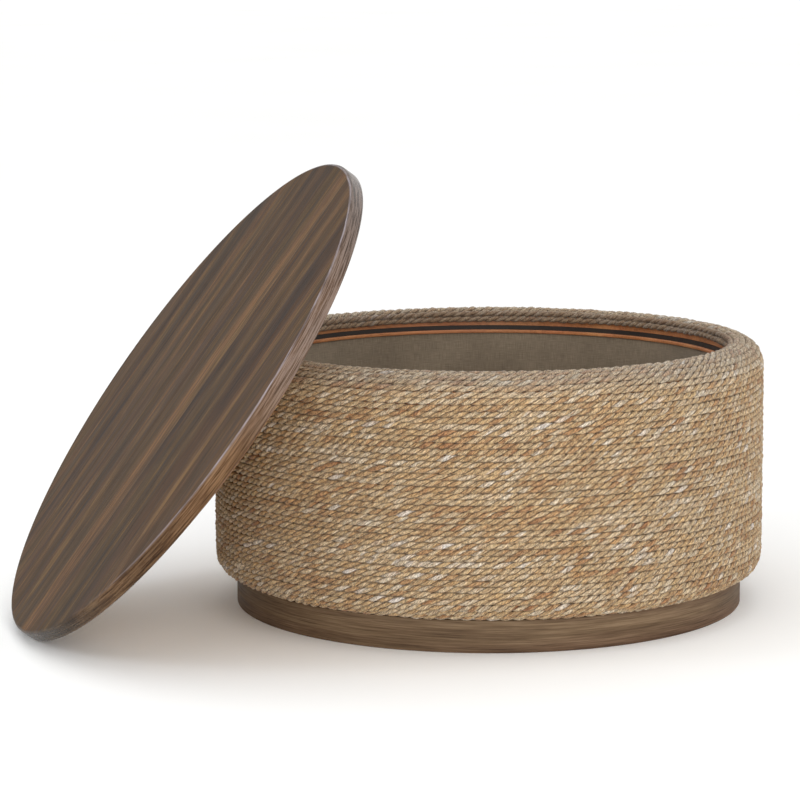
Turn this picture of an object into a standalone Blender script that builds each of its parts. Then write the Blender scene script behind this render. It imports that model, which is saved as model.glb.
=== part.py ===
"""Round storage ottoman: a rope-wrapped drum on a wooden plinth, with a loose wooden lid.

Metres, +Z up. The origin is on the drum's own axis, on the floor. The lid stands on its edge
against the drum, leaning to the -X side, which is how the ottoman is kept while it is open.
"""

import math

import bpy
from mathutils import Vector

# Driving dimensions
GAP = 0.0003  # between pieces that touch
ROUND_STEPS = 48  # sides of a large turned piece
SMALL_STEPS = 8  # sides of a screw

DRUM_R = 0.400
DRUM_TOP = 0.385
ROPE_T = 0.0085
ROPE_BOTTOM = 0.046
RIM_OUTER_ROUND = 0.037
RIM_INNER_ROUND = 0.013
LOWER_ROUND = 0.030
MOUTH_R = 0.3445  # the rope's innermost radius, at the mouth
ROPE_INNER_END = 0.357  # height where the rope stops inside the mouth
ROPE_UNDER_R = 0.362  # the rope's innermost radius, under the drum

PLINTH_R = 0.369
PLINTH_WALL = 0.018
PLINTH_HEIGHT = 0.0455
BRACE_WIDTH = 0.040

BASE_T = 0.015
BASE_R = ROPE_UNDER_R - 0.0005
FRAME_OUTER_R = DRUM_R - ROPE_T - GAP
FRAME_INNER_R = MOUTH_R + ROPE_T + GAP
FORMER_TOP = 0.079
RIM_UNDERSIDE = 0.330
SHELL_T = 0.004
UPRIGHTS = 8
UPRIGHT_WIDTH = 0.040

LINER_T = 0.0035
LINER_TOP = 0.345
LINER_FLOOR_T = 0.006
HOOP_HEIGHT = 0.005

LID_R = 0.393
LID_T = 0.0224
LID_TOP_ROUND = 0.005
LID_UNDER_ROUND = 0.003
BOARDS = 8
ROD_R = 0.005
ROD_LENGTH = 0.700
ROD_CLEARANCE = 0.0006
PLUG_R = 0.330
PLUG_T = 0.018
PLUG_EDGE = 0.002
LID_SCREWS = 8
LID_SCREW_CIRCLE = 0.290

SCREW_HEAD_R = 0.0040
SCREW_HEAD_T = 0.0028
SCREW_SHANK_R = 0.0020
SCREW_CLEARANCE = 0.0004
HOLE_RISE = 0.006
LID_SCREW_LENGTH = 0.028
BASE_SCREW_LENGTH = 0.040
BASE_SCREW_CIRCLE = 0.200
RIM_SCREW_LENGTH = 0.065
RIM_SCREW_SINK = 0.003  # heads set below the rim ring's top, under its rounding

# The lid's stance: tilt from level, and how far its middle is from the drum's middle plane
LID_TILT = math.radians(53.5)
LID_OFFSET_Y = -0.0592
LID_FLOOR_GAP = 0.0004


def clear_scene():
    for old in list(bpy.data.objects):
        bpy.data.objects.remove(old, do_unlink=True)


def new_collection(name):
    made = bpy.data.collections.new(name)
    bpy.context.scene.collection.children.link(made)
    return made


def material(name, colour, roughness, metallic=0.0):
    made = bpy.data.materials.new(name)
    made.use_nodes = True
    shader = made.node_tree.nodes["Principled BSDF"]
    shader.inputs["Base Color"].default_value = (*colour, 1.0)
    shader.inputs["Roughness"].default_value = roughness
    shader.inputs["Metallic"].default_value = metallic
    return made


def add_object(name, mesh, finish, collection, parent=None, place=(0, 0, 0)):
    made = bpy.data.objects.new(name, mesh)
    if finish and not mesh.materials:
        mesh.materials.append(finish)
    collection.objects.link(made)
    made.parent = parent
    made.location = place
    return made


def add_empty(name, collection, parent=None, place=(0, 0, 0)):
    made = bpy.data.objects.new(name, None)
    made.empty_display_size = 0.05
    collection.objects.link(made)
    made.parent = parent
    made.location = place
    return made


def hide_cutter(cutter):
    cutter.hide_render = True
    cutter.display_type = "WIRE"
    return cutter


def arc(centre, radius, start, end, steps):
    """Points on an arc in the profile plane, both ends included. Angles in degrees from +r."""
    points = []
    for i in range(steps + 1):
        angle = math.radians(start + (end - start) * i / steps)
        points.append((centre[0] + radius * math.cos(angle), centre[1] + radius * math.sin(angle)))
    return points


def profile_mesh(name, points, closed):
    """A profile of (radius, height) points in the XZ plane, as edges for a Screw modifier."""
    mesh = bpy.data.meshes.new(name)
    vertices = [(r, 0.0, z) for r, z in points]
    edges = [(i, i + 1) for i in range(len(points) - 1)]
    if closed:
        edges.append((len(points) - 1, 0))
    mesh.from_pydata(vertices, edges, [])
    return mesh


def turn(target, steps):
    """Turns the target's profile round its own Z axis."""
    screw = target.modifiers.new("turned", "SCREW")
    screw.axis = "Z"
    screw.angle = math.tau
    screw.steps = steps
    screw.render_steps = steps
    screw.use_merge_vertices = True
    screw.merge_threshold = 0.00001
    screw.use_smooth_shade = True


def turned_piece(name, points, closed, finish, collection, steps=ROUND_STEPS, parent=None, place=(0, 0, 0)):
    """closed is True for a ring, whose profile is a loop, and False for one that meets the axis."""
    made = add_object(name, profile_mesh(name, points, closed), finish, collection, parent, place)
    turn(made, steps)
    return made


def box_mesh(name, size):
    """A box made from Blender's cube, with its size in the mesh and not in the object's scale."""
    bpy.ops.mesh.primitive_cube_add(size=1.0)
    cube = bpy.context.active_object
    mesh = cube.data
    mesh.name = name
    bpy.data.objects.remove(cube)
    for vertex in mesh.vertices:
        vertex.co = [c * s for c, s in zip(vertex.co, size)]
    return mesh


def cylinder_mesh(name, radius, length, sides):
    bpy.ops.mesh.primitive_cylinder_add(vertices=sides, radius=radius, depth=length)
    cylinder = bpy.context.active_object
    mesh = cylinder.data
    mesh.name = name
    bpy.data.objects.remove(cylinder)
    return mesh


def cut(target, cutter, operation="DIFFERENCE"):
    """cutter is one object, or a collection of cutters."""
    boolean = target.modifiers.new(operation.lower(), "BOOLEAN")
    boolean.operation = operation
    boolean.solver = "EXACT"
    if isinstance(cutter, bpy.types.Collection):
        boolean.operand_type = "COLLECTION"
        boolean.collection = cutter
    else:
        boolean.object = cutter


def ring_of(count, radius, first_angle=0.0):
    """(x, y, angle) of equally spaced places on a circle."""
    places = []
    for i in range(count):
        angle = first_angle + math.tau * i / count
        places.append((radius * math.cos(angle), radius * math.sin(angle), angle))
    return places


def screw_profile(length):
    """A countersunk screw, its head's top just under height 0."""
    top = -0.0001
    head = [(0.0, top), (SCREW_HEAD_R, top), (SCREW_SHANK_R, -SCREW_HEAD_T)]
    return head + [(SCREW_SHANK_R, -length), (0.0, -length)]


def hole_profile(length):
    """The hole for a countersunk screw: clear of it all round, and open above its head."""
    head = SCREW_HEAD_R + SCREW_CLEARANCE
    shank = SCREW_SHANK_R + SCREW_CLEARANCE
    bottom = -length - SCREW_CLEARANCE
    cone_end = -SCREW_HEAD_T - SCREW_CLEARANCE
    mouth = [(0.0, HOLE_RISE), (head, HOLE_RISE), (head, 0.0)]
    return mouth + [(shank, cone_end), (shank, bottom), (0.0, bottom)]


def screws_and_holes(name, places, length, heads_up, parts, cutters, steel, parent=None):
    """Screws at each (x, y, z) of their heads' tops, and a collection of the holes that take them."""
    holes = bpy.data.collections.new(name + "_holes")
    cutters.children.link(holes)
    solid = profile_mesh(name, screw_profile(length), False)
    hollow = profile_mesh(name + "_hole", hole_profile(length), False)
    for number, place in enumerate(places, 1):
        screw = add_object(f"{name}_{number}", solid, steel, parts, parent, place)
        hole = hide_cutter(add_object(f"{name}_hole_{number}", hollow, None, holes, parent, place))
        for piece in (screw, hole):
            turn(piece, SMALL_STEPS)
            if not heads_up:
                piece.rotation_euler.x = math.pi
    return holes


def rope_outline(depth):
    """The rope's surface at a depth under its outer one, from inside the mouth over the rim and down."""
    top = DRUM_TOP - depth
    outer_r = DRUM_R - depth
    mouth_r = MOUTH_R + depth
    bottom = ROPE_BOTTOM + depth
    outer_centre = (DRUM_R - RIM_OUTER_ROUND, DRUM_TOP - RIM_OUTER_ROUND)
    mouth_centre = (MOUTH_R + RIM_INNER_ROUND, DRUM_TOP - RIM_INNER_ROUND)
    lower_centre = (DRUM_R - LOWER_ROUND, ROPE_BOTTOM + LOWER_ROUND)
    points = [(mouth_r, ROPE_INNER_END)]
    points += arc(mouth_centre, mouth_centre[0] - mouth_r, 180, 90, 2)
    points += arc(outer_centre, top - outer_centre[1], 90, 0, 4)
    points += arc(lower_centre, outer_r - lower_centre[0], 0, -90, 3)
    points.append((ROPE_UNDER_R, bottom))
    return points


def make_drum(parts, cutters, drum):
    stained = material("stained_wood", (0.150, 0.100, 0.064), 0.55)
    pale_ply = material("plywood", (0.52, 0.38, 0.24), 0.7)
    pine = material("frame_wood", (0.58, 0.43, 0.27), 0.7)
    rope = material("rope", (0.40, 0.29, 0.17), 0.9)
    linen = material("liner_fabric", (0.25, 0.21, 0.16), 0.95)
    cane = material("hoop_wood", (0.45, 0.20, 0.08), 0.6)
    steel = material("steel", (0.55, 0.55, 0.57), 0.35, 1.0)

    base_bottom = PLINTH_HEIGHT + GAP
    base_top = base_bottom + BASE_T
    base_heads = [(x, y, base_top) for x, y, _ in ring_of(4, BASE_SCREW_CIRCLE)]
    base_holes = screws_and_holes(
        "base_screw", base_heads, BASE_SCREW_LENGTH, True, parts, cutters, steel, drum
    )

    # Plinth: a turned ring, with a cross brace standing on the floor inside it
    plinth_inner = PLINTH_R - PLINTH_WALL
    ring = [(plinth_inner, PLINTH_HEIGHT), (PLINTH_R, PLINTH_HEIGHT), (PLINTH_R, 0.001)]
    ring += [(PLINTH_R - 0.001, 0.0), (plinth_inner, 0.0)]
    turned_piece("plinth_ring", ring, True, stained, parts, parent=drum)
    reach = plinth_inner * math.cos(math.pi / ROUND_STEPS) - 0.001
    long_mesh = box_mesh("long_brace", (2 * reach, BRACE_WIDTH, PLINTH_HEIGHT))
    long_brace = add_object("plinth_brace_long", long_mesh, pine, parts, drum, (0, 0, PLINTH_HEIGHT / 2))
    cut(long_brace, base_holes)
    short_length = reach - BRACE_WIDTH / 2 - GAP
    for side, word in ((1, "back"), (-1, "front")):
        short_mesh = box_mesh("short_brace", (BRACE_WIDTH, short_length, PLINTH_HEIGHT))
        place = (0, side * (BRACE_WIDTH / 2 + GAP + short_length / 2), PLINTH_HEIGHT / 2)
        short = add_object(f"plinth_brace_{word}", short_mesh, pine, parts, drum, place)
        cut(short, base_holes)

    # Carcass: base panel, lower former, uprights, rim ring and two bent skins
    panel = [(0.0, base_top), (BASE_R, base_top), (BASE_R, base_bottom), (0.0, base_bottom)]
    base_panel = turned_piece("base_panel", panel, False, pale_ply, parts, parent=drum)
    cut(base_panel, base_holes)

    lower_centre = (DRUM_R - LOWER_ROUND, ROPE_BOTTOM + LOWER_ROUND)
    former = [(FRAME_INNER_R, FORMER_TOP), (FRAME_OUTER_R, FORMER_TOP)]
    former += arc(lower_centre, FRAME_OUTER_R - lower_centre[0], 0, -90, 3)
    former += [(ROPE_UNDER_R, ROPE_BOTTOM + ROPE_T + GAP), (ROPE_UNDER_R, base_top + GAP)]
    former.append((FRAME_INNER_R, base_top + GAP))
    turned_piece("lower_former", former, True, pale_ply, parts, parent=drum)

    rim_top = DRUM_TOP - ROPE_T - GAP
    rim_round = (DRUM_R - RIM_OUTER_ROUND, DRUM_TOP - RIM_OUTER_ROUND)
    rim_chamfer = RIM_INNER_ROUND - ROPE_T
    rim = [(FRAME_INNER_R, rim_top - rim_chamfer), (FRAME_INNER_R + rim_chamfer, rim_top)]
    rim += arc(rim_round, rim_top - rim_round[1], 90, 0, 4)
    rim += [(FRAME_OUTER_R, RIM_UNDERSIDE), (FRAME_INNER_R, RIM_UNDERSIDE)]
    rim_ring = turned_piece("rim_ring", rim, True, pine, parts, parent=drum)

    upright_inner = FRAME_INNER_R
    upright_outer = (FRAME_OUTER_R - SHELL_T - GAP) * math.cos(math.pi / ROUND_STEPS) - 0.0025
    upright_bottom = FORMER_TOP + GAP
    upright_top = RIM_UNDERSIDE - GAP
    upright_size = (upright_outer - upright_inner, UPRIGHT_WIDTH, upright_top - upright_bottom)
    upright_mesh = box_mesh("upright", upright_size)
    upright_r = (upright_inner + upright_outer) / 2
    head_top = rim_top - RIM_SCREW_SINK
    heads = [(x, y, head_top) for x, y, _ in ring_of(UPRIGHTS, upright_r, math.pi / UPRIGHTS)]
    rim_holes = screws_and_holes("rim_screw", heads, RIM_SCREW_LENGTH, True, parts, cutters, steel, drum)
    cut(rim_ring, rim_holes)
    for number, (x, y, angle) in enumerate(ring_of(UPRIGHTS, upright_r, math.pi / UPRIGHTS), 1):
        upright = add_object(
            f"upright_{number}", upright_mesh, pine, parts, drum, (x, y, (upright_top + upright_bottom) / 2)
        )
        upright.rotation_euler.z = angle
        cut(upright, rim_holes)

    outer = [(FRAME_OUTER_R - SHELL_T, upright_top), (FRAME_OUTER_R, upright_top)]
    outer += [(FRAME_OUTER_R, upright_bottom), (FRAME_OUTER_R - SHELL_T, upright_bottom)]
    turned_piece("outer_skin", outer, True, pale_ply, parts, parent=drum)
    inner_r = FRAME_INNER_R - GAP
    skin_top = ROPE_INNER_END - GAP
    skin_bottom = base_top + GAP
    inner = [(inner_r - SHELL_T, skin_top), (inner_r, skin_top)]
    inner += [(inner_r, skin_bottom), (inner_r - SHELL_T, skin_bottom)]
    turned_piece("inner_skin", inner, True, pale_ply, parts, parent=drum)

    # Rope wrap: one skin over the rim, down the side and under the lower edge
    wrap = rope_outline(0.0) + list(reversed(rope_outline(ROPE_T)))
    turned_piece("rope_wrap", wrap, True, rope, parts, parent=drum)

    # Liner: a fabric wall, a covered floor and the hoop that holds the fabric's top edge
    liner_r = inner_r - SHELL_T - GAP
    wall = [(liner_r - LINER_T, LINER_TOP), (liner_r, LINER_TOP)]
    wall += [(liner_r, skin_bottom), (liner_r - LINER_T, skin_bottom)]
    turned_piece("liner_wall", wall, True, linen, parts, parent=drum)
    floor_r = liner_r - LINER_T - GAP
    floor_top = skin_bottom + LINER_FLOOR_T
    floor = [(0.0, floor_top), (floor_r, floor_top), (floor_r, skin_bottom), (0.0, skin_bottom)]
    turned_piece("liner_floor", floor, False, linen, parts, parent=drum)
    hoop_bottom = LINER_TOP + GAP
    hoop_top = hoop_bottom + HOOP_HEIGHT
    hoop_inner = liner_r - LINER_T - 0.001
    hoop = [(hoop_inner, hoop_top - 0.001), (hoop_inner + 0.001, hoop_top), (liner_r, hoop_top)]
    hoop += [(liner_r, hoop_bottom), (hoop_inner + 0.001, hoop_bottom), (hoop_inner, hoop_bottom + 0.001)]
    turned_piece("liner_hoop", hoop, True, cane, parts, parent=drum)


def lid_stance():
    """The middle of the leaning lid: its lower edge on the floor, its locating panel on the drum's rim."""
    normal = Vector((-math.sin(LID_TILT), 0, math.cos(LID_TILT)))
    under_panel = LID_T / 2 + GAP + PLUG_T
    rim_centre = Vector((-(DRUM_R - RIM_OUTER_ROUND), 0, DRUM_TOP - RIM_OUTER_ROUND))
    contact = rim_centre + (RIM_OUTER_ROUND + GAP) * normal
    z = LID_FLOOR_GAP + LID_R * math.sin(LID_TILT) + LID_T / 2 * math.cos(LID_TILT)
    x = (contact.dot(normal) + under_panel - z * normal.z) / normal.x
    return Vector((x, LID_OFFSET_Y, z))


def make_lid(parts, cutters, drum):
    boards_wood = material("lid_wood", (0.135, 0.092, 0.062), 0.5)
    panel_ply = material("lid_plywood", (0.50, 0.36, 0.23), 0.7)
    rod_steel = material("rod_steel", (0.50, 0.50, 0.52), 0.4, 1.0)
    screw_steel = material("lid_screw_steel", (0.55, 0.55, 0.57), 0.35, 1.0)

    # The two axes that carry the lid from its lean to the drum's mouth
    middle = lid_stance()
    closed_middle = Vector((0, 0, DRUM_TOP + GAP + LID_T / 2))
    swing_axis = add_empty("lid_swing_axis", parts, drum, (middle + closed_middle) / 2)
    tilt_axis = add_empty("lid_tilt_axis", parts, swing_axis, (middle - closed_middle) / 2)
    tilt_axis.rotation_euler.y = -LID_TILT

    # Tie rod across the boards, through the lid's middle
    rod = add_object("tie_rod", cylinder_mesh("tie_rod", ROD_R, ROD_LENGTH, 16), rod_steel, parts, tilt_axis)
    rod.rotation_euler.x = math.pi / 2
    bore_mesh = cylinder_mesh("rod_bore", ROD_R + ROD_CLEARANCE, ROD_LENGTH + 0.004, 16)
    bore = hide_cutter(add_object("rod_bore", bore_mesh, None, cutters, tilt_axis))
    bore.rotation_euler.x = math.pi / 2

    # Round locating panel, screwed on from below
    panel_top = -LID_T / 2 - GAP
    panel_bottom = panel_top - PLUG_T
    heads = [(x, y, panel_bottom) for x, y, _ in ring_of(LID_SCREWS, LID_SCREW_CIRCLE, math.pi / LID_SCREWS)]
    holes = screws_and_holes(
        "lid_screw", heads, LID_SCREW_LENGTH, False, parts, cutters, screw_steel, tilt_axis
    )
    profile = [(0.0, panel_top), (PLUG_R, panel_top), (PLUG_R, panel_bottom + PLUG_EDGE)]
    profile += [(PLUG_R - PLUG_EDGE, panel_bottom), (0.0, panel_bottom)]
    panel = turned_piece("locating_panel", profile, False, panel_ply, parts, parent=tilt_axis)
    cut(panel, holes)

    # Boards: the round lid's profile, kept where each board's strip is
    disc = [(0.0, LID_T / 2)]
    disc += arc((LID_R - LID_TOP_ROUND, LID_T / 2 - LID_TOP_ROUND), LID_TOP_ROUND, 90, 0, 3)
    disc += arc((LID_R - LID_UNDER_ROUND, LID_UNDER_ROUND - LID_T / 2), LID_UNDER_ROUND, 0, -90, 2)
    disc += [(0.0, -LID_T / 2)]
    width = 2 * LID_R / BOARDS
    strip_mesh = box_mesh("board_strip", (2.2 * LID_R, width - GAP, 2 * LID_T))
    for number in range(1, BOARDS + 1):
        y = -LID_R + width * (number - 0.5)
        strip = add_object(f"board_strip_{number}", strip_mesh, None, cutters, tilt_axis, (0, y, 0))
        hide_cutter(strip)
        board = turned_piece(f"lid_board_{number}", disc, False, boards_wood, parts, parent=tilt_axis)
        cut(board, strip, "INTERSECT")
        cut(board, bore)
        cut(board, holes)


clear_scene()
part_collection = new_collection("storage_ottoman")
cutter_collection = new_collection("cutters")
drum_origin = add_empty("drum_origin", part_collection)
make_drum(part_collection, cutter_collection, drum_origin)
make_lid(part_collection, cutter_collection, drum_origin)
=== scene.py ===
import math

import bmesh
import bpy
import numpy as np
from mathutils import Matrix, Vector


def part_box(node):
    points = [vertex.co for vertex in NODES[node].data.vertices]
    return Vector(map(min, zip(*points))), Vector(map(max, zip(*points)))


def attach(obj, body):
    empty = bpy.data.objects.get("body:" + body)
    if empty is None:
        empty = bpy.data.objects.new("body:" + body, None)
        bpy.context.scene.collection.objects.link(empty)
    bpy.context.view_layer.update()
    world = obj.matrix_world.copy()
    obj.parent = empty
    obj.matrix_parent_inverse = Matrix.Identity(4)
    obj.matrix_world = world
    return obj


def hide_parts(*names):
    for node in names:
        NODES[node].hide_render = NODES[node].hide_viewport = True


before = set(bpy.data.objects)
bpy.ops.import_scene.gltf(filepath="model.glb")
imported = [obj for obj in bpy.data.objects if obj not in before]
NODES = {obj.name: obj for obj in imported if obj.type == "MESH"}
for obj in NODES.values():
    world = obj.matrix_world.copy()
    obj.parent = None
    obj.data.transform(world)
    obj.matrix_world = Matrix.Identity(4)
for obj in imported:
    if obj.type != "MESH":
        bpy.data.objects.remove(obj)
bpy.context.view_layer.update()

SEED = 11

# Sizes read from the frame
ROPE_LOW, ROPE_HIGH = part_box("rope_wrap")
DRUM_R = ROPE_HIGH.x
DRUM_TOP = ROPE_HIGH.z
ROPE_BOTTOM = ROPE_LOW.z
PLINTH_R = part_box("plinth_ring")[1].x
PLINTH_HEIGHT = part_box("plinth_ring")[1].z
HOOP_LOW, HOOP_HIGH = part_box("liner_hoop")
LINER_LOW, LINER_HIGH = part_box("liner_wall")
LINER_R = LINER_HIGH.x
FLOOR_LOW, FLOOR_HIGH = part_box("liner_floor")

# The rope and the rounding of the drum under it
ROPE_D = 0.0085
MOUTH_R = 0.3445
RIM_OUTER_ROUND = 0.037
RIM_INNER_ROUND = 0.013
LOWER_ROUND = 0.030
ROPE_UNDER_R = 0.362
ROPE_INNER_END = 0.357
ROPE_LAY = 0.031  # length in which the two strands go once round each other
RINGS_PER_TURN = 720
QUARTER = (0, 32, 60, 80)  # degrees from a strand's crest towards the groove, where points lie closer
STRAND_OFFSET = 0.205 * ROPE_D
STRAND_R = 0.405 * ROPE_D
ROPE_END = math.radians(-90)  # the rope's inner end is tucked under the front of the mouth
ROPE_SINK = 0.00110  # how far pressed courses lie inside their free diameter
TURNS_PER_PIECE = 4

# The lid, in its own frame: X along the grain, Y across the boards, Z out of its top face
LID_R = 0.393
LID_T = 0.0224
LID_TOP_ROUND = 0.005
LID_UNDER_ROUND = 0.003
BOARDS = 8
BOARD_GAP = 0.00006
ROD_R = 0.005
ROD_CLEARANCE = 0.0006
ROD_LENGTH = 0.700
PLUG_R = 0.330
PLUG_T = 0.018
PLY_T = 0.0015
GAP = 0.0003
LID_TILT = math.radians(53.5)
ROD_LOW, ROD_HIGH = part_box("tie_rod")
LID_PLACE = Matrix.Translation((ROD_LOW + ROD_HIGH) / 2) @ Matrix.Rotation(-LID_TILT, 4, "Y")
LID_SCREWS = 8
LID_SCREW_CIRCLE = 0.290
SCREW_HEAD_R = 0.0040
SCREW_HEAD_T = 0.0028
SCREW_SHANK_R = 0.0020
SCREW_LENGTH = 0.028
SCREW_CLEARANCE = 0.0004
RECESS_WIDTH = 0.0009
RECESS_SPAN = 0.0046
RECESS_DEPTH = 0.0012

SMOOTH_STEPS = 192  # sides of a large turned piece
CAP_R = 0.02  # the flat cap in the middle of a disc's faces
PLINTH_WALL = 0.018
HOOP_DEPTH = 0.0045
EDGE_SOFT = 0.0012  # rounding of the plinth's and the hoop's edges
CLOTH_T = 0.0010
CLOTH_SLACK = 0.0011  # depth of the liner's folds
PAD_ROUND = 0.0028
PAD_CROWN = 0.0014

# The floor, the lights' aim and the camera
GROUND_SIZE = 90.0
LIGHTS_AIM = Vector((0, 0, 0.25))
CAMERA_PLACE = (-1.2498, -4.0801, 0.9381)
CAMERA_AIM = Vector((0.2610, 0.9536, -0.1499))
CAMERA_ROLL = -0.00526  # radians
CAMERA_LENS = 132.9  # mm, on a sensor 36 mm wide


def srgb(red, green, blue):
    """A display colour, 0 to 255, as the linear colour that shaders take."""
    linear = []
    for value in (red, green, blue):
        share = value / 255
        linear.append(share / 12.92 if share <= 0.04045 else ((share + 0.055) / 1.055) ** 2.4)
    return (*linear, 1.0)


# ---- Mesh helpers ----


def arc(centre, radius, start, end, steps):
    """Points of an arc in the (radius, height) plane, from one angle to another in degrees."""
    angles = np.radians(np.linspace(start, end, steps + 1))
    return [(centre[0] + radius * math.cos(a), centre[1] + radius * math.sin(a)) for a in angles]


def along(points):
    """The length run so far at each of a line's points."""
    steps = np.linalg.norm(np.diff(np.asarray(points, float), axis=0), axis=1)
    return np.concatenate([[0.0], np.cumsum(steps)])


def lattice(name, points, u, v, wrap_rows=False, wrap_cols=False, caps=""):
    """A mesh of quads over rows x columns of points. u is given for each row and v for each column, with one
    more value where they wrap. caps closes the ends of the "rows" or the "cols" with flat faces."""
    rows, cols = points.shape[:2]
    row_steps = np.arange(rows if wrap_rows else rows - 1)
    col_steps = np.arange(cols if wrap_cols else cols - 1)
    i, j = (axis.ravel() for axis in np.meshgrid(row_steps, col_steps, indexing="ij"))
    corner_i = np.stack([i, i + 1, i + 1, i], 1)
    corner_j = np.stack([j, j, j + 1, j + 1], 1)
    faces = ((corner_i % rows) * cols + corner_j % cols).tolist()
    uvs = np.stack([np.asarray(u)[corner_i], np.asarray(v)[corner_j]], 2).reshape(-1, 2)
    index = np.arange(rows * cols).reshape(rows, cols)
    if caps == "rows":
        ends = [index[0], index[-1][::-1]]
    elif caps == "cols":
        ends = [index[:, 0][::-1], index[:, -1]]
    else:
        ends = []
    for end in ends:
        faces.append(end.tolist())
        uvs = np.concatenate([uvs, points.reshape(-1, 3)[end][:, :2]])
    mesh = bpy.data.meshes.new(name)
    mesh.from_pydata(points.reshape(-1, 3), [], faces)
    layer = mesh.uv_layers.new(name="surface")
    layer.data.foreach_set("uv", uvs.astype(np.float32).ravel())
    mesh.shade_smooth()
    mesh.update()
    return mesh


def turned(name, profile, closed=True, steps=SMOOTH_STEPS):
    """A profile turned about Z, running up its outer side, then inwards: a closed one is a ring's, an open
    one a disc's."""
    profile = np.asarray(profile, float)
    angles = np.linspace(0, 2 * math.pi, steps, endpoint=False)
    radius, height = profile[:, 0], profile[:, 1]
    points = np.stack([
        np.cos(angles)[:, None] * radius,
        np.sin(angles)[:, None] * radius,
        np.broadcast_to(height, (steps, len(height))),
    ], 2)
    u = np.linspace(0, 2 * math.pi * radius.max(), steps + 1)
    v = along(np.vstack([profile, profile[:1]]) if closed else profile)
    return lattice(name, points, u, v, wrap_rows=True, wrap_cols=closed, caps="" if closed else "cols")


def store(mesh, name, values):
    """Keeps a number for each point of the mesh, for a material to read."""
    attribute = mesh.attributes.new(name, "FLOAT", "POINT")
    attribute.data.foreach_set("value", np.asarray(values, np.float32).ravel())


def add_piece(name, mesh, material, body, replaced=(), place=None, sharp=40):
    """An object that rides on a body and takes the given material."""
    piece = bpy.data.objects.new(name, mesh)
    bpy.context.scene.collection.objects.link(piece)
    mesh.materials.clear()
    mesh.materials.append(material)
    mesh.set_sharp_from_angle(angle=math.radians(sharp))
    if place is not None:
        piece.matrix_world = place
    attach(piece, body)
    if replaced:
        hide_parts(*replaced)
    return piece


# ---- Shader helpers ----


def new_material(name, roughness=0.6, **settings):
    """A Principled material. Settings are the shader's own values, by name, with _ for a space."""
    material = bpy.data.materials.new(name)
    material.use_nodes = True
    shader = material.node_tree.nodes["Principled BSDF"]
    shader.inputs["Roughness"].default_value = roughness
    for key, value in settings.items():
        shader.inputs[key.replace("_", " ")].default_value = value
    return material, material.node_tree, shader


def add_node(tree, kind, inputs=None, **properties):
    """A node with its inputs set, or linked where the value is another node's output."""
    node = tree.nodes.new("ShaderNode" + kind)
    for key, value in properties.items():
        setattr(node, key, value)
    for key, value in (inputs or {}).items():
        if isinstance(value, bpy.types.NodeSocket):
            tree.links.new(value, node.inputs[key])
        else:
            node.inputs[key].default_value = value
    return node


def maths(tree, operation, first, second=0.0):
    return add_node(tree, "Math", {0: first, 1: second}, operation=operation).outputs[0]


def scaled(tree, vector, scale, offset=(0, 0, 0)):
    return add_node(tree, "Mapping", {"Vector": vector, "Scale": scale, "Location": offset}).outputs[0]


def noise(tree, vector, scale=1.0, detail=4.0, roughness=0.5):
    inputs = {"Vector": vector, "Scale": scale, "Detail": detail, "Roughness": roughness}
    return add_node(tree, "TexNoise", inputs).outputs["Fac"]


def ramp(tree, factor, stops):
    """A colour for each value of the factor, from (value, display colour) stops."""
    node = add_node(tree, "ValToRGB", {"Fac": factor})
    elements = node.color_ramp.elements
    while len(elements) < len(stops):
        elements.new(0.5)
    for element, (position, colour) in zip(elements, stops):
        element.position = position
        element.color = srgb(*colour)
    return node.outputs["Color"]


def mixed(tree, factor, first, second, blend="MIX"):
    node = add_node(tree, "Mix", data_type="RGBA", blend_type=blend)
    for index, value in ((0, factor), (6, first), (7, second)):
        if isinstance(value, bpy.types.NodeSocket):
            tree.links.new(value, node.inputs[index])
        else:
            node.inputs[index].default_value = value
    return node.outputs[2]


def between(tree, value, low, high, to_low=0.0, to_high=1.0):
    """The value, taken smoothly from the range low to high over to the range to_low to to_high."""
    inputs = {"Value": value, "From Min": low, "From Max": high, "To Min": to_low, "To Max": to_high}
    return add_node(tree, "MapRange", inputs, interpolation_type="SMOOTHSTEP").outputs[0]


def finish_shader(tree, shader, colour, height=None, strength=0.3, distance=0.001, roughness=None):
    """Links the colour, the bump and, where it varies, the roughness to the shader."""
    tree.links.new(colour, shader.inputs["Base Color"])
    if roughness is not None:
        tree.links.new(roughness, shader.inputs["Roughness"])
    if height is not None:
        bump = add_node(tree, "Bump", {"Height": height, "Strength": strength, "Distance": distance})
        tree.links.new(bump.outputs[0], shader.inputs["Normal"])


def object_coordinates(tree):
    return add_node(tree, "TexCoord").outputs["Object"]


def surface_coordinates(tree):
    return add_node(tree, "UVMap", uv_map="surface").outputs["UV"]


def fact(tree, name):
    """A number stored at the mesh's points."""
    return add_node(tree, "Attribute", attribute_name=name).outputs["Fac"]


def grey(tree, value):
    return add_node(tree, "CombineXYZ", {0: value, 1: value, 2: value}).outputs[0]


# ---- Materials ----


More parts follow.
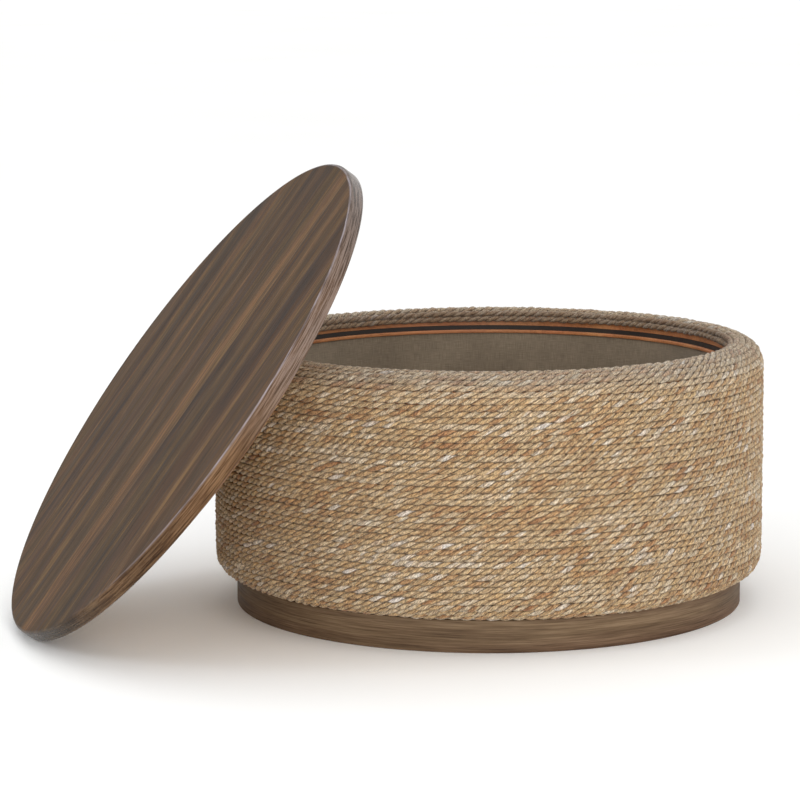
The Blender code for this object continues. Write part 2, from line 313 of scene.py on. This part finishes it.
def rope_material():
    """Twisted seagrass. U runs along the rope in metres and V once round its section, following the twist."""
    material, tree, shader = new_material("seagrass_rope", 0.8, Specular_IOR_Level=0.35, Sheen_Weight=0.18)
    parts = add_node(tree, "SeparateXYZ", {0: surface_coordinates(tree)})
    length, turn = parts.outputs[0], parts.outputs[1]
    slant = maths(tree, "ADD", maths(tree, "MULTIPLY", turn, 15.0), maths(tree, "MULTIPLY", length, 30.0))
    fibre_at = add_node(tree, "CombineXYZ", {0: maths(tree, "MULTIPLY", length, 70.0), 1: slant}).outputs[0]
    fibre = noise(tree, fibre_at, 1.0, 4.0, 0.7)
    blotch_at = add_node(tree, "CombineXYZ", {0: maths(tree, "MULTIPLY", length, 120.0), 1: turn}).outputs[0]
    blotch = noise(tree, blotch_at, 1.0, 2.0, 0.6)
    speck_place = {0: maths(tree, "MULTIPLY", length, 330.0), 1: maths(tree, "MULTIPLY", turn, 10.0)}
    speck_at = add_node(tree, "CombineXYZ", speck_place).outputs[0]
    speck = noise(tree, speck_at, 1.0, 3.0, 0.7)

    leaf_tone = maths(tree, "MULTIPLY", fact(tree, "leaf"), 0.76)
    tone = maths(tree, "ADD", leaf_tone, maths(tree, "MULTIPLY", blotch, 0.24))
    colour = ramp(tree, tone, [
        (0.20, (160, 120, 84)), (0.34, (174, 142, 104)), (0.46, (184, 160, 122)),
        (0.58, (192, 172, 140)), (0.70, (200, 187, 164)), (0.84, (212, 207, 201)),
    ])
    golden = between(tree, noise(tree, blotch_at, 0.31, 2.0), 0.54, 0.68)
    colour = mixed(tree, maths(tree, "MULTIPLY", golden, 0.35), colour, srgb(196, 158, 104))
    place = add_node(tree, "SeparateXYZ", {0: object_coordinates(tree)}).outputs
    # painted sheen: the rope is greyed towards the top of the drum, standing in for light from above
    # reflecting off the rim
    painted_top_sheen = between(tree, place[2], DRUM_TOP - 0.040, DRUM_TOP - 0.004, 0.0, 0.48)
    colour = mixed(tree, painted_top_sheen, colour, srgb(158, 154, 146))
    frayed = ramp(tree, fibre, [(0.34, (160, 126, 100)), (0.46, (234, 224, 216)), (0.58, (255, 255, 255))])
    colour = mixed(tree, 1.0, colour, frayed, "MULTIPLY")
    colour = mixed(tree, 1.0, colour, grey(tree, between(tree, speck, 0.34, 0.66, 0.50, 1.52)), "MULTIPLY")
    # painted shade: the grooves between the strands are darkened, where shade falls between them
    groove = maths(tree, "MULTIPLY", fact(tree, "groove"), between(tree, speck, 0.35, 0.65, 1.0, 0.85))
    colour = mixed(tree, groove, colour, srgb(40, 22, 12))
    # painted shade: the parts of each course lying inwards, towards the drum and between the courses, are
    # darkened
    inside = between(tree, fact(tree, "outward"), 0.10, 0.50, 1.0, 0.0)
    colour = mixed(tree, maths(tree, "MULTIPLY", inside, 0.8), colour, srgb(66, 40, 25))
    # painted shade: the courses just inside the mouth are darkened, as in the shade under the rim
    squares = maths(tree, "ADD", maths(tree, "POWER", place[0], 2.0), maths(tree, "POWER", place[1], 2.0))
    painted_lip_shade = between(tree, maths(tree, "SQRT", squares), MOUTH_R + 0.003, MOUTH_R + 0.012, 0.55, 0.0)
    colour = mixed(tree, painted_lip_shade, colour, srgb(96, 66, 44))
    finish_shader(tree, shader, colour, fibre, 0.6, 0.0010, between(tree, fibre, 0.3, 0.7, 0.72, 0.90))
    return material


def wood_colour(tree, grain_at, stops, pore_strength=0.5, tinted=1.0):
    """Straight-grained stained wood. The vector is in metres: X runs along the grain, Y and Z across it."""
    warp = noise(tree, scaled(tree, grain_at, (1.6, 9.0, 9.0)), 1.0, 2.0)
    shift = add_node(tree, "CombineXYZ", {1: maths(tree, "MULTIPLY", warp, 0.016)}).outputs[0]
    warped = add_node(tree, "VectorMath", {0: grain_at, 1: shift}, operation="ADD").outputs[0]
    bands = noise(tree, scaled(tree, warped, (1.2, 24.0, 24.0)), 1.0, 2.0, 0.5)
    streaks = noise(tree, scaled(tree, warped, (4.0, 120.0, 120.0)), 1.0, 3.0, 0.6)
    hairs = noise(tree, scaled(tree, warped, (13.0, 430.0, 430.0)), 1.0, 3.0, 0.7)
    tone = maths(tree, "ADD", maths(tree, "MULTIPLY", bands, 0.34), maths(tree, "MULTIPLY", streaks, 0.26))
    tone = maths(tree, "ADD", tone, maths(tree, "MULTIPLY", hairs, 0.40))
    colour = ramp(tree, tone, stops)
    hue = noise(tree, scaled(tree, warped, (1.1, 26.0, 26.0), (7, 2, 5)), 1.0, 3.0, 0.5)
    tint = ramp(tree, hue, [(0.38, (255, 236, 232)), (0.50, (255, 252, 240)), (0.62, (244, 250, 226))])
    colour = mixed(tree, tinted, colour, tint, "MULTIPLY")
    pore_noise = noise(tree, scaled(tree, warped, (16.0, 760.0, 760.0), (3, 7, 1)), 1.0, 1.0)
    pores = between(tree, pore_noise, 0.60, 0.74)
    dark = mixed(tree, 1.0, colour, srgb(150, 142, 138), "MULTIPLY")
    colour = mixed(tree, maths(tree, "MULTIPLY", pores, pore_strength), colour, dark)
    height = maths(tree, "SUBTRACT", streaks, maths(tree, "MULTIPLY", pores, 0.5))
    return colour, height, streaks


def lid_material():
    """Stained walnut boards: each has its own grain, and the worn rounded edge shows warmer wood, with a
    painted grey reflection towards +X and a painted highlight along its crown.
    """
    material, tree, shader = new_material("stained_walnut", 0.5, Specular_IOR_Level=0.12)
    place = object_coordinates(tree)
    parts = add_node(tree, "SeparateXYZ", {0: place})
    pitch = 2 * LID_R / BOARDS
    board = maths(tree, "FLOOR", maths(tree, "DIVIDE", maths(tree, "ADD", parts.outputs[1], LID_R), pitch))
    jump = add_node(tree, "TexWhiteNoise", {"W": board}, noise_dimensions="1D")
    own_offset = scaled(tree, jump.outputs["Color"], (3.0, 3.0, 3.0))
    moved = add_node(tree, "VectorMath", {0: place, 1: own_offset}, operation="ADD").outputs[0]
    stops = [(0.39, (33, 21, 12)), (0.46, (60, 42, 24)), (0.53, (79, 57, 34)), (0.60, (109, 82, 51))]
    colour, height, streaks = wood_colour(tree, moved, stops, 0.85, 0.65)
    own_shade = grey(tree, between(tree, jump.outputs["Value"], 0.0, 1.0, 0.93, 1.07))
    colour = mixed(tree, 1.0, colour, own_shade, "MULTIPLY")
    edge = fact(tree, "edge")
    ends = between(tree, maths(tree, "ABSOLUTE", parts.outputs[0]), 0.50 * LID_R, 0.95 * LID_R)
    lines = noise(tree, scaled(tree, place, (16.0, 16.0, 520.0)), 1.0, 4.0, 0.7)
    patches = noise(tree, scaled(tree, place, (7.0, 7.0, 60.0), (4, 4, 4)), 1.0, 3.0)
    bare = ramp(tree, lines, [(0.36, (54, 36, 22)), (0.48, (92, 66, 44)), (0.62, (124, 96, 70))])
    soaked = ramp(tree, lines, [(0.36, (22, 16, 11)), (0.50, (46, 36, 26)), (0.64, (84, 70, 53))])
    side = mixed(tree, ends, bare, soaked)
    side = mixed(tree, 1.0, side, grey(tree, between(tree, patches, 0.35, 0.65, 0.62, 1.15)), "MULTIPLY")
    # painted reflection: the rounded edge is greyed towards the +X end, standing in for the light it reflects
    # there
    painted_edge_reflection = between(tree, parts.outputs[0], -0.1 * LID_R, 0.35 * LID_R)  # greyer towards the end at +X
    painted_edge_reflection = maths(tree, "MULTIPLY", painted_edge_reflection, edge)
    painted_edge_reflection = maths(tree, "MULTIPLY", painted_edge_reflection, between(tree, lines, 0.42, 0.58, 0.15, 0.75))
    colour = mixed(tree, maths(tree, "MULTIPLY", edge, 0.85), colour, side)
    colour = mixed(tree, painted_edge_reflection, colour, srgb(132, 116, 108))
    # painted highlight: a pale streaky line along the crown of the rounded top edge, fading out towards the
    # -X end
    painted_crown_highlight = between(tree, edge, 0.05, 0.30)
    painted_crown_highlight = maths(tree, "MULTIPLY", painted_crown_highlight, between(tree, edge, 0.45, 0.90, 1.0, 0.0))
    painted_crown_highlight = maths(tree, "MULTIPLY", painted_crown_highlight, between(tree, lines, 0.40, 0.60, 0.20, 0.75))
    painted_crown_highlight = maths(tree, "MULTIPLY", painted_crown_highlight, between(tree, parts.outputs[0], -0.9 * LID_R, 0.1 * LID_R))
    colour = mixed(tree, painted_crown_highlight, colour, srgb(158, 150, 156))
    satin = between(tree, streaks, 0.3, 0.7, 0.56, 0.66)
    satin = maths(tree, "SUBTRACT", satin, maths(tree, "MULTIPLY", edge, 0.34))
    finish_shader(tree, shader, colour, height, 0.22, 0.0005, satin)
    return material


def plinth_material():
    """The same stain on a bent panel, with its grain running round."""
    material, tree, shader = new_material("stained_plinth", 0.6, Specular_IOR_Level=0.12)
    stops = [(0.36, (66, 50, 38)), (0.46, (95, 75, 58)), (0.54, (113, 92, 73)), (0.64, (138, 115, 94))]
    colour, height, streaks = wood_colour(tree, surface_coordinates(tree), stops, 0.6, 0.35)
    finish_shader(tree, shader, colour, height, 0.22, 0.0005, between(tree, streaks, 0.3, 0.7, 0.56, 0.70))
    return material


def plain_wood(name, *colours, roughness=0.65):
    """Unfinished or lightly finished wood, in four colours from its darkest grain to its lightest."""
    material, tree, shader = new_material(name, roughness)
    stops = list(zip((0.34, 0.46, 0.54, 0.66), colours))
    colour, height, streaks = wood_colour(tree, object_coordinates(tree), stops, 0.3, 0.4)
    satin = between(tree, streaks, 0.3, 0.7, roughness - 0.06, roughness + 0.06)
    finish_shader(tree, shader, colour, height, 0.2, 0.0004, satin)
    return material


def plywood_material():
    """Face grain along X, and thin plies seen in the panel's edge."""
    material, tree, shader = new_material("plywood", 0.62)
    place = object_coordinates(tree)
    stops = [
        (0.34, (150, 118, 84)), (0.46, (182, 150, 112)),
        (0.54, (196, 166, 128)), (0.66, (210, 184, 149)),
    ]
    colour, height, streaks = wood_colour(tree, place, stops, 0.25, 0.3)
    depth = add_node(tree, "SeparateXYZ", {0: place}).outputs["Z"]
    plies = maths(tree, "DIVIDE", maths(tree, "ADD", depth, 1.0), PLY_T)
    layer = maths(tree, "MODULO", maths(tree, "FLOOR", plies), 2.0)
    edge = fact(tree, "edge")
    dark = mixed(tree, 1.0, colour, srgb(176, 150, 126), "MULTIPLY")
    colour = mixed(tree, maths(tree, "MULTIPLY", layer, edge), colour, dark)
    finish_shader(tree, shader, colour, height, 0.2, 0.0004, between(tree, streaks, 0.3, 0.7, 0.56, 0.68))
    return material


def cloth_material():
    """Greige plain weave: uneven yarns crossing, a soft sheen and faint mottling."""
    material, tree, shader = new_material("liner_cloth", 0.92, Sheen_Weight=0.25, Sheen_Roughness=0.45)
    place = surface_coordinates(tree)
    warp_yarns = noise(tree, scaled(tree, place, (1150.0, 60.0, 1.0)), 1.0, 2.0)
    weft_yarns = noise(tree, scaled(tree, place, (60.0, 1150.0, 1.0), (5, 3, 0)), 1.0, 2.0)
    crossing = add_node(tree, "TexChecker", {"Vector": place, "Scale": 900.0}).outputs["Fac"]
    half_warp, half_weft = (maths(tree, "MULTIPLY", part, 0.5) for part in (warp_yarns, weft_yarns))
    yarns = maths(tree, "ADD", half_warp, half_weft)
    height = maths(tree, "ADD", yarns, maths(tree, "MULTIPLY", crossing, 0.18))
    mottle = noise(tree, place, 9.0, 4.0, 0.6)
    tone = maths(tree, "ADD", maths(tree, "MULTIPLY", yarns, 0.7), maths(tree, "MULTIPLY", mottle, 0.3))
    # the cloth's own greige, darkened and warmed with painted shade inside the drum
    colour = ramp(tree, tone, [(0.36, (103, 91, 75)), (0.50, (125, 111, 93)), (0.64, (145, 131, 111))])
    finish_shader(tree, shader, colour, height, 0.5, 0.0004, between(tree, yarns, 0.3, 0.7, 0.86, 0.96))
    return material


def steel_material():
    """Zinc-plated steel with fine scratches and slight dulling."""
    material, tree, shader = new_material("zinc_steel", 0.35, Metallic=1.0)
    place = object_coordinates(tree)
    scratch = noise(tree, scaled(tree, place, (900.0, 120.0, 300.0)), 1.0, 4.0)
    dull = noise(tree, place, 160.0, 3.0)
    colour = ramp(tree, dull, [(0.35, (150, 150, 152)), (0.65, (190, 190, 188))])
    finish_shader(tree, shader, colour, scratch, 0.15, 0.0001, between(tree, scratch, 0.3, 0.7, 0.28, 0.46))
    return material


# ---- The rope ----


def rope_centre_line():
    """The rope's centre line across the drum: from under it, up the side, over the rim and down inside."""
    half = ROPE_D / 2 + ROPE_SINK
    lower = (DRUM_R - LOWER_ROUND, ROPE_BOTTOM + LOWER_ROUND)
    outer = (DRUM_R - RIM_OUTER_ROUND, DRUM_TOP - RIM_OUTER_ROUND)
    inner = (MOUTH_R + RIM_INNER_ROUND, DRUM_TOP - RIM_INNER_ROUND)
    points = [(ROPE_UNDER_R + half, ROPE_BOTTOM + half)]
    points += arc(lower, LOWER_ROUND - half, -90, 0, 24)
    points += arc(outer, RIM_OUTER_ROUND - half, 0, 90, 24)
    points += arc(inner, RIM_INNER_ROUND - half, 90, 180, 16)
    points.append((MOUTH_R + half, ROPE_INNER_END + half))
    return np.array(points)


def wander(rng, lengths, knot, size):
    """A smooth random value along the rope, with a new target every knot metres."""
    spots = lengths / knot
    targets = rng.uniform(-size, size, int(spots[-1]) + 2)
    low = spots.astype(int)
    share = spots - low
    ease = share * share * (3 - 2 * share)
    return targets[low] * (1 - ease) + targets[low + 1] * ease


def rope_rings():
    """Every ring of the wound rope: its points, its length along the rope, the angles of its section, and for
    each point the tone of its leaf (the part of a strand between two grooves), its groove and how far out it
    lies."""
    rng = np.random.default_rng(SEED)
    line = rope_centre_line()
    line_length = along(line)
    turns = line_length[-1] / ROPE_D
    count = int(turns * RINGS_PER_TURN)
    angle = np.arange(count) * 2 * math.pi / RINGS_PER_TURN
    across = angle / (2 * math.pi) * ROPE_D
    radius = np.interp(across, line_length, line[:, 0])
    height = np.interp(across, line_length, line[:, 1])
    slope_r = np.gradient(radius, across)
    slope_z = np.gradient(height, across)
    size = np.hypot(slope_r, slope_z)
    up = np.stack([slope_r / size, slope_z / size], 1)
    out = np.stack([up[:, 1], -up[:, 0]], 1)
    length = np.concatenate([[0.0], np.cumsum(radius[1:] * np.diff(angle))])

    lay = ROPE_LAY * (1 + wander(rng, length, 0.23, 0.17) + wander(rng, length, 0.05, 0.12))
    twist = np.concatenate([[0.0], np.cumsum(2 * math.pi * np.diff(length) / lay[1:])])
    centre_out = wander(rng, length, 0.040, 0.00032)
    centre_up = wander(rng, length, 0.045, 0.00062)
    thick = 1 + wander(rng, length, 0.026, 0.06) + wander(rng, length, 0.21, 0.03)
    strands = [1 + wander(rng, length, 0.018, 0.11), 1 + wander(rng, length, 0.018, 0.11)]

    half_round = list(QUARTER) + [90] + [180 - angle for angle in reversed(QUARTER[1:])]
    section = np.radians(half_round + [180 + angle for angle in half_round])
    lobes = STRAND_OFFSET * np.abs(np.cos(section))
    lobes = lobes + np.sqrt(STRAND_R ** 2 - (STRAND_OFFSET * np.sin(section)) ** 2)
    first = np.clip(np.cos(section), 0, 1)
    second = np.clip(-np.cos(section), 0, 1)
    swell = 1 + first * (strands[0][:, None] - 1) + second * (strands[1][:, None] - 1)
    ragged = 1 + rng.normal(0, 0.022, (count, len(section)))
    reach = lobes * swell * thick[:, None] * ragged
    turn = twist[:, None] + section
    off_out = centre_out[:, None] + reach * np.cos(turn)
    off_up = centre_up[:, None] + reach * np.sin(turn)
    point_r = radius[:, None] + off_out * out[:, :1] + off_up * up[:, :1]
    point_z = height[:, None] + off_out * out[:, 1:] + off_up * up[:, 1:]
    point_z = np.minimum(point_z, DRUM_TOP - 0.0001)  # the lid presses the top courses flat
    around = (angle - angle[-1] + ROPE_END)[:, None]
    points = np.stack([point_r * np.cos(around), point_r * np.sin(around), point_z], 2)

    leaf = np.round(turn / (2 * math.pi)).astype(int)
    strand = (np.cos(section) < 0).astype(int)
    own = rng.random((leaf.max() + 2, 2, 2)).mean(2)[leaf, strand]
    runs = [0.5 + wander(rng, length, 0.12, 0.5), 0.5 + wander(rng, length, 0.12, 0.5)]
    tone = 0.65 * own + 0.35 * np.where(strand, runs[1][:, None], runs[0][:, None])
    facts = {
        "leaf": tone,
        "groove": np.broadcast_to(np.clip(1 - np.abs(np.cos(section)) / 0.30, 0, 1), tone.shape),
        "outward": np.clip(0.5 + off_out / ROPE_D, 0, 1),
    }
    return points, length, section, facts


def make_rope(material):
    """The rope as capped lengths of a few turns each, which butt against each other end to end."""
    points, length, section, facts = rope_rings()
    per_piece = TURNS_PER_PIECE * RINGS_PER_TURN
    starts = list(range(0, len(points) - RINGS_PER_TURN, per_piece))
    v = np.append(section / (2 * math.pi), 1.0)
    for number, start in enumerate(starts, 1):
        end = len(points) if number == len(starts) else start + per_piece + 1
        part = slice(start, end)
        mesh = lattice(f"rope_{number:02d}", points[part], length[part], v, wrap_cols=True, caps="rows")
        for kind, values in facts.items():
            store(mesh, kind, values[part])
        replaced = ("rope_wrap",) if number == 1 else ()
        add_piece(f"rope_turns_{number:02d}", mesh, material, "drum", replaced, sharp=75)


# ---- The lid ----


def lid_disc():
    """The whole lid as one closed disc, with "edge" marking its rounded rim."""
    half = LID_T / 2
    flat_r = LID_R - LID_TOP_ROUND - 0.002  # a ring here keeps the rounding's shading off the flat faces
    profile = [(CAP_R, -half), (flat_r, -half)]
    profile += arc((LID_R - LID_UNDER_ROUND, -half + LID_UNDER_ROUND), LID_UNDER_ROUND, -90, 0, 6)
    profile += arc((LID_R - LID_TOP_ROUND, half - LID_TOP_ROUND), LID_TOP_ROUND, 0, 90, 10)
    profile += [(flat_r, half), (CAP_R, half)]
    mesh = turned("lid_disc", profile, closed=False, steps=256)
    places = np.array([v.co for v in mesh.vertices])
    radius = np.hypot(places[:, 0], places[:, 1])
    above = places[:, 2] > -half + 0.0001
    edge = np.clip((radius - (LID_R - LID_TOP_ROUND)) / LID_TOP_ROUND, 0, 1) * above
    store(mesh, "edge", edge)
    return mesh


def slice_board(disc, name, low, high):
    """The part of the disc between two planes across Y, closed where it was cut."""
    work = bmesh.new()
    work.from_mesh(disc)
    for place, direction in ((low, -1), (high, 1)):
        if abs(place) >= LID_R:
            continue
        geometry = list(work.verts) + list(work.edges) + list(work.faces)
        plane = {"plane_co": (0, place, 0), "plane_no": (0, direction, 0)}
        found = bmesh.ops.bisect_plane(work, geom=geometry, dist=1e-6, clear_outer=True, **plane)
        edges = [item for item in found["geom_cut"] if isinstance(item, bmesh.types.BMEdge)]
        bmesh.ops.edgeloop_fill(work, edges=edges)
    bmesh.ops.recalc_face_normals(work, faces=work.faces)
    mesh = bpy.data.meshes.new(name)
    work.to_mesh(mesh)
    work.free()
    mesh.shade_smooth()
    return mesh


def bored(mesh, bore):
    """The mesh with another one cut out of it."""
    work = bpy.data.objects.new("work", mesh)
    cutter = bpy.data.objects.new("cutter", bore)
    for item in (work, cutter):
        bpy.context.scene.collection.objects.link(item)
    step = work.modifiers.new("bore", "BOOLEAN")
    step.object = cutter
    step.operation = "DIFFERENCE"
    bpy.context.view_layer.update()
    result = bpy.data.meshes.new_from_object(work.evaluated_get(bpy.context.evaluated_depsgraph_get()))
    for item in (work, cutter):
        bpy.data.objects.remove(item)
    result.shade_smooth()
    return result


def rod_bore():
    """A rod along Y, a little larger and longer than the tie rod."""
    radius = ROD_R + ROD_CLEARANCE
    half = ROD_LENGTH / 2 + ROD_CLEARANCE
    profile = [(radius / 2, -half), (radius, -half), (radius, half), (radius / 2, half)]
    mesh = turned("rod_bore", profile, closed=False, steps=24)
    mesh.transform(Matrix.Rotation(math.radians(90), 4, "X"))
    return mesh


def make_lid(material):
    disc = lid_disc()
    bore = rod_bore()
    pitch = 2 * LID_R / BOARDS
    for number in range(1, BOARDS + 1):
        low = -LID_R + (number - 1) * pitch + BOARD_GAP / 2
        high = -LID_R + number * pitch - BOARD_GAP / 2
        low = -1.0 if number == 1 else low
        high = 1.0 if number == BOARDS else high
        board = bored(slice_board(disc, f"board_{number}", low, high), bore)
        name = f"lid_board_{number}"
        add_piece(name + "_surface", board, material, "lid", (name,), LID_PLACE, sharp=30)


def make_panel(material):
    """The locating panel under the lid, with softened edges."""
    top = -LID_T / 2 - GAP
    bottom = top - PLUG_T
    near = LID_SCREW_CIRCLE - 2 * SCREW_HEAD_R
    far = LID_SCREW_CIRCLE + 2 * SCREW_HEAD_R
    profile = [(CAP_R, bottom), (near, bottom), (far, bottom), (PLUG_R - 0.004, bottom)]
    profile += arc((PLUG_R - 0.002, bottom + 0.002), 0.002, -90, 0, 4)
    profile += arc((PLUG_R - 0.001, top - 0.001), 0.001, 0, 90, 3) + [(PLUG_R - 0.004, top), (CAP_R, top)]
    mesh = turned("panel", profile, closed=False)
    radius = np.hypot(*np.array([v.co[:2] for v in mesh.vertices]).T)
    store(mesh, "edge", radius > PLUG_R - 0.0015)
    clear = SCREW_CLEARANCE
    flare = (SCREW_HEAD_R - SCREW_SHANK_R) / (SCREW_HEAD_T + clear)
    hole = [(SCREW_SHANK_R + clear, -PLUG_T - 0.002), (SCREW_SHANK_R + clear, -SCREW_HEAD_T - clear)]
    hole += [(SCREW_HEAD_R + clear + 0.002 * flare, 0.002)]
    for place in lid_screw_places():
        cone = turned("countersink", hole, closed=False, steps=32)
        cone.transform(place)
        mesh = bored(mesh, cone)
    add_piece("locating_panel_surface", mesh, material, "lid", ("locating_panel",), LID_PLACE)


def lid_screw_places():
    """Where the lid's screws sit, on a circle in the panel's underside, with their heads down."""
    bottom = -LID_T / 2 - GAP - PLUG_T
    for number in range(LID_SCREWS):
        angle = math.pi * (2 * number + 1) / LID_SCREWS
        spot = Vector((LID_SCREW_CIRCLE * math.cos(angle), LID_SCREW_CIRCLE * math.sin(angle), bottom))
        yield Matrix.Translation(spot) @ Matrix.Rotation(math.pi, 4, "X")


def make_lid_screws(material):
    """Countersunk screws with a cross recess."""
    profile = [(SCREW_SHANK_R * 0.4, -SCREW_LENGTH), (SCREW_SHANK_R, -SCREW_LENGTH + 0.003)]
    profile += [(SCREW_SHANK_R, -SCREW_HEAD_T), (SCREW_HEAD_R, -0.0004), (SCREW_HEAD_R - 0.0002, -0.0001)]
    screw = turned("lid_screw", profile, closed=False, steps=32)
    for size in ((RECESS_SPAN, RECESS_WIDTH), (RECESS_WIDTH, RECESS_SPAN)):
        work = bmesh.new()
        bmesh.ops.create_cube(work, size=1.0)
        bmesh.ops.scale(work, vec=(size[0], size[1], 2 * RECESS_DEPTH), verts=work.verts)
        recess = bpy.data.meshes.new("recess")
        work.to_mesh(recess)
        work.free()
        screw = bored(screw, recess)
    for number, place in enumerate(lid_screw_places(), 1):
        name = f"lid_screw_{number}"
        mesh = screw.copy()
        add_piece(name + "_head", mesh, material, "lid", (name,), LID_PLACE @ place, sharp=30)


# ---- Plinth, liner and hoop ----


def make_plinth(material):
    inner = PLINTH_R - PLINTH_WALL
    soft = EDGE_SOFT
    profile = [(inner, 0.0005), (PLINTH_R - soft, 0.0)] + arc((PLINTH_R - soft, soft), soft, -90, 0, 4)[1:]
    profile += arc((PLINTH_R - soft / 2, PLINTH_HEIGHT - soft / 2), soft / 2, 0, 90, 3)
    profile.append((inner, PLINTH_HEIGHT))
    mesh = turned("plinth", profile)
    add_piece("plinth_ring_surface", mesh, material, "drum", ("plinth_ring",))


def make_hoop(material):
    soft = EDGE_SOFT
    inner = LINER_R - HOOP_DEPTH
    low, high = HOOP_LOW.z, HOOP_HIGH.z
    profile = [(LINER_R, low), (LINER_R, high)] + arc((inner + soft, high - soft), soft, 90, 180, 5)
    profile += arc((inner + soft, low + soft), soft, 180, 270, 5)
    add_piece("liner_hoop_surface", turned("hoop", profile), material, "drum", ("liner_hoop",))


def make_liner(material):
    """The cloth wall, drawn tight between hoop and floor with a few faint slack folds, and the covered
    floor."""
    rng = np.random.default_rng(SEED + 1)
    angles = np.linspace(0, 2 * math.pi, 480, endpoint=False)
    heights = np.linspace(LINER_LOW.z, LINER_HIGH.z, 44)
    share = np.linspace(0, 1, len(heights))
    free = np.sin(math.pi * share) ** 0.8
    folds = np.zeros((len(angles), len(heights)))
    for waves in (5, 9, 14, 23, 37):
        phase, lean = rng.uniform(0, 2 * math.pi), rng.uniform(-1.4, 1.4)
        folds += np.sin(waves * angles[:, None] + phase + lean * share[None, :]) / waves ** 0.6
    inward = 0.0004 + CLOTH_SLACK * (folds - folds.min()) / np.ptp(folds) * free
    outer = LINER_R - inward
    radius = np.concatenate([outer, (outer - CLOTH_T)[:, ::-1]], 1)
    height = np.concatenate([heights, heights[::-1]])
    points = np.stack([
        radius * np.cos(angles)[:, None],
        radius * np.sin(angles)[:, None],
        np.broadcast_to(height, radius.shape),
    ], 2)
    u = np.linspace(0, 2 * math.pi * LINER_R, len(angles) + 1)
    v = np.append(height, height[0])
    mesh = lattice("liner", points, u, v, wrap_rows=True, wrap_cols=True)
    wall = add_piece("liner_wall_cloth", mesh, material, "drum", ("liner_wall",))

    edge_r = FLOOR_HIGH.x - 0.0006
    low, high = FLOOR_LOW.z, FLOOR_HIGH.z
    soft = PAD_ROUND
    profile = [(CAP_R / 2, low)] + arc((edge_r - soft, low + soft), soft, -90, 0, 5)
    profile += arc((edge_r - soft, high - soft), soft, 0, 90, 5)
    profile += [(edge_r * part, high + PAD_CROWN * (1 - part ** 4)) for part in np.linspace(0.97, 0.03, 26)]
    pad = turned("pad", profile, closed=False)
    for layer in pad.uv_layers:
        spread = np.array([pad.vertices[loop.vertex_index].co[:2] for loop in pad.loops], np.float32)
        layer.data.foreach_set("uv", spread.ravel())
    floor = add_piece("liner_floor_cover", pad, material, "drum", ("liner_floor",))


# ---- Floor, light and camera ----


def make_ground():
    half = GROUND_SIZE / 2
    mesh = bpy.data.meshes.new("ground")
    corners = [(-half, -half, 0), (half, -half, 0), (half, half, 0), (-half, half, 0)]
    mesh.from_pydata(corners, [], [(0, 1, 2, 3)])
    ground = bpy.data.objects.new("ground", mesh)
    bpy.context.scene.collection.objects.link(ground)
    material, tree, shader = new_material("ground", 0.9)
    tone = noise(tree, object_coordinates(tree), 0.6, 2.0)
    finish_shader(tree, shader, ramp(tree, tone, [(0.3, (249, 249, 248)), (0.7, (252, 252, 251))]))
    mesh.materials.append(material)


def add_softbox(name, place, size, watts, colour):
    light = bpy.data.lights.new(name, "AREA")
    light.shape = "RECTANGLE"
    light.size, light.size_y = size
    light.energy = watts
    light.color = colour
    box = bpy.data.objects.new(name, light)
    box.location = place
    box.rotation_euler = (LIGHTS_AIM - Vector(place)).to_track_quat("-Z", "Y").to_euler()
    bpy.context.scene.collection.objects.link(box)


def make_light():
    world = bpy.data.worlds.new("studio")
    world.use_nodes = True
    background = world.node_tree.nodes["Background"]
    background.inputs["Color"].default_value = (1.0, 1.0, 1.0, 1)
    background.inputs["Strength"].default_value = 1.05
    bpy.context.scene.world = world
    add_softbox("key", (0.5, -4.4, 2.3), (2.6, 2.0), 28, (1.0, 0.985, 0.96))
    add_softbox("fill", (-1.7, -4.1, 1.0), (1.8, 1.2), 46, (1.0, 0.98, 0.95))
    add_softbox("edge", (-4.3, -0.3, 1.9), (0.5, 1.4), 30, (0.86, 0.92, 1.0))
    bpy.context.scene.view_settings.view_transform = "Standard"


def make_camera():
    data = bpy.data.cameras.new("camera")
    data.sensor_width = 36.0
    data.lens = CAMERA_LENS
    data.clip_end = 200.0
    camera = bpy.data.objects.new("camera", data)
    turn = Matrix.Rotation(CAMERA_ROLL, 3, "Z").to_quaternion()
    camera.rotation_mode = "QUATERNION"
    camera.rotation_quaternion = CAMERA_AIM.to_track_quat("-Z", "Y") @ turn
    camera.location = CAMERA_PLACE
    bpy.context.scene.collection.objects.link(camera)
    bpy.context.scene.camera = camera


def dress(names, material):
    """Gives CAD nodes that are kept their finished material."""
    for name in names:
        node = NODES[name]
        node.data.materials.clear()
        node.data.materials.append(material)


def numbered(stem, count):
    return [f"{stem}_{number}" for number in range(1, count + 1)]


make_camera()
make_light()
make_ground()

plywood = plywood_material()
pine = plain_wood("frame_pine", (170, 134, 92), (198, 164, 120), (212, 180, 136), (224, 198, 158))
hoop_browns = [(138, 84, 48), (170, 108, 66), (184, 122, 78), (200, 142, 96)]
hoop_wood = plain_wood("hoop_beech", *hoop_browns, roughness=0.5)
steel = steel_material()
cloth = cloth_material()
# painted shade: a near-black wood colour for the inner skin, which shows only in the shaded gap between the
# rope's lip and the hoop
painted_gap_shade = plain_wood("shade_dark_ply", (24, 18, 14), (32, 24, 19), (38, 29, 23), (48, 38, 30))

make_rope(rope_material())
make_lid(lid_material())
make_panel(plywood)
make_lid_screws(steel)
make_plinth(plinth_material())
make_hoop(hoop_wood)
make_liner(cloth)

dress(["base_panel", "lower_former", "outer_skin"], plywood)
# the inner skin takes the painted shade colour
dress(["inner_skin"], painted_gap_shade)
dress(["rim_ring"], hoop_wood)
dress(["plinth_brace_long", "plinth_brace_back", "plinth_brace_front"], pine)
dress(numbered("upright", 8), pine)
dress(["tie_rod"] + numbered("rim_screw", 8) + numbered("base_screw", 4), steel)
